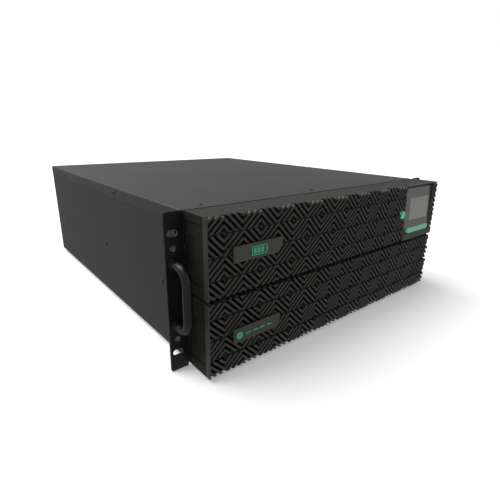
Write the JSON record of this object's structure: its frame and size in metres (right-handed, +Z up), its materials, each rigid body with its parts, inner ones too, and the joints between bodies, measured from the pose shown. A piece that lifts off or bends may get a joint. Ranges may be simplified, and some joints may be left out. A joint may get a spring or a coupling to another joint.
{
  "type": "rack-mounted battery backup unit",
  "caption": "Rack-mounted battery backup unit with diamond-ribbed pull-off bezels, tilted display, ear handles and slide-out battery packs.",
  "frame": {"origin": "middle of the rack slot pattern, on the rear face of the ears", "axes": "+X to the right seen from the front, +Y to the rear of the case, +Z up"},
  "size_m": [0.4826, 0.5979, 0.1773],
  "materials": {
    "case_paint": "fine-texture dark grey powder coat",
    "lid_paint": "fine-texture dark grey powder coat",
    "ear_paint": "satin black powder coat",
    "handle_coat": "satin black coated bar",
    "screw_black": "black zinc",
    "screw_zinc": "clear zinc",
    "zinc_sheet": "galvanised sheet",
    "bezel_plastic": "fine-grain moulded",
    "grille_plastic": "semi-matte moulded",
    "filter_foam": "open-cell dust filter foam",
    "latch_plastic": "semi-matte moulded",
    "plate_coat": "dark anodised, fine brushed",
    "mark_green": "printed green",
    "lcd_panel": "unlit grey liquid crystal",
    "display_lens": "smoked lens",
    "status_green": "diffused light bar",
    "drop_green": "diffused lamp button",
    "circuit_board": "solder mask",
    "heatsink_alloy": "extruded",
    "capacitor_sleeve": "shrink sleeve",
    "choke_winding": "enamelled copper",
    "fan_plastic": "moulded",
    "guard_wire": "bright plated wire",
    "socket_plastic": "moulded",
    "lever_plastic": "moulded",
    "stud_brass": "plain brass",
    "cell_case": "moulded battery case",
    "plug_red": "moulded connector"
  },
  "bodies": {
    "chassis": {"case_tub": "case_paint", "deck": "zinc_sheet", "top_cover": "lid_paint", "case_screws": "screw_black", "front_panel": "zinc_sheet", "rear_panel": "case_paint", "rear_screws": "screw_black", "ear_left": "ear_paint", "ear_right": "ear_paint", "ear_screws": "screw_black", "handle_left": "handle_coat", "handle_right": "handle_coat", "handle_screws": "screw_zinc", "bay_divider": "zinc_sheet", "power_board": "circuit_board", "heatsinks": "heatsink_alloy", "capacitors": "capacitor_sleeve", "chokes": "choke_winding", "fan_frames": "fan_plastic", "fan_guards": "guard_wire", "outlet_block": "socket_plastic", "terminal_block": "socket_plastic", "terminal_skirt": "case_paint", "terminal_cover": "case_paint", "battery_port": "socket_plastic", "network_cover": "zinc_sheet", "port_panel": "zinc_sheet", "breaker_body": "socket_plastic", "ground_stud": "stud_brass"},
    "upper_bezel_unit": {"upper_bezel": "bezel_plastic", "upper_grille": "grille_plastic", "upper_filter": "filter_foam", "upper_plate": "plate_coat", "upper_plate_mark": "mark_green", "display_housing": "bezel_plastic", "display_panel": "lcd_panel", "display_lens": "display_lens", "status_bar": "status_green"},
    "lower_bezel_unit": {"lower_bezel": "bezel_plastic", "lower_grille": "grille_plastic", "lower_filter": "filter_foam", "lower_plate": "plate_coat", "lower_plate_mark": "mark_green"},
    "upper_left_latch": {"upper_latch_left": "latch_plastic"},
    "upper_right_latch": {"upper_latch_right": "latch_plastic"},
    "lower_left_latch": {"lower_latch_left": "latch_plastic"},
    "lower_right_latch": {"lower_latch_right": "latch_plastic"},
    "drop_key": {"drop_button": "drop_green"},
    "battery_left": {"battery_tray_left": "zinc_sheet", "battery_cells_left": "cell_case", "battery_plug_left": "plug_red", "battery_pull_left": "latch_plastic"},
    "battery_right": {"battery_tray_right": "zinc_sheet", "battery_cells_right": "cell_case", "battery_plug_right": "plug_red", "battery_pull_right": "latch_plastic"},
    "left_fan": {"fan_rotor_left": "fan_plastic"},
    "right_fan": {"fan_rotor_right": "fan_plastic"},
    "breaker_toggle": {"breaker_lever": "lever_plastic"}
  },
  "joints": [
    {"name": "upper_bezel_pull", "type": "slide", "parent": "chassis", "child": "upper_bezel_unit", "axis": [0, -1, 0], "range_m": [0, 0.12]},
    {"name": "lower_bezel_pull", "type": "slide", "parent": "chassis", "child": "lower_bezel_unit", "axis": [0, -1, 0], "range_m": [0, 0.6]},
    {"name": "battery_left_slide", "type": "slide", "parent": "chassis", "child": "battery_left", "axis": [0, -1, 0], "range_m": [0, 0.48]},
    {"name": "battery_right_slide", "type": "slide", "parent": "chassis", "child": "battery_right", "axis": [0, -1, 0], "range_m": [0, 0.48]},
    {"name": "upper_latch_left_press", "type": "slide", "parent": "upper_bezel_unit", "child": "upper_left_latch", "axis": [1, 0, 0], "range_m": [0, 0.0025], "stiffness_N_per_m": 400},
    {"name": "upper_latch_right_press", "type": "slide", "parent": "upper_bezel_unit", "child": "upper_right_latch", "axis": [-1, 0, 0], "range_m": [0, 0.0025], "stiffness_N_per_m": 400},
    {"name": "lower_latch_left_press", "type": "slide", "parent": "lower_bezel_unit", "child": "lower_left_latch", "axis": [1, 0, 0], "range_m": [0, 0.0025], "stiffness_N_per_m": 400},
    {"name": "lower_latch_right_press", "type": "slide", "parent": "lower_bezel_unit", "child": "lower_right_latch", "axis": [-1, 0, 0], "range_m": [0, 0.0025], "stiffness_N_per_m": 400},
    {"name": "drop_button_press", "type": "slide", "parent": "upper_bezel_unit", "child": "drop_key", "axis": [0, 1, 0], "range_m": [0, 0.0015], "stiffness_N_per_m": 500},
    {"name": "fan_left_spin", "type": "hinge", "parent": "chassis", "child": "left_fan", "pos_m": [-0.168, 0.5115, 0.0381], "axis": [0, 1, 0], "continuous": true},
    {"name": "fan_right_spin", "type": "hinge", "parent": "chassis", "child": "right_fan", "pos_m": [-0.082, 0.5115, 0.0381], "axis": [0, 1, 0], "continuous": true},
    {"name": "breaker_throw", "type": "hinge", "parent": "chassis", "child": "breaker_toggle", "pos_m": [0.176, 0.53, -0.04735], "axis": [1, 0, 0], "range_deg": [-70, 0]}
  ],
  "couplings": [
    {"joint": "battery_left_slide", "follows": "lower_bezel_pull", "ratio": 0.8},
    {"joint": "battery_right_slide", "follows": "lower_bezel_pull", "ratio": 0.8}
  ]
}
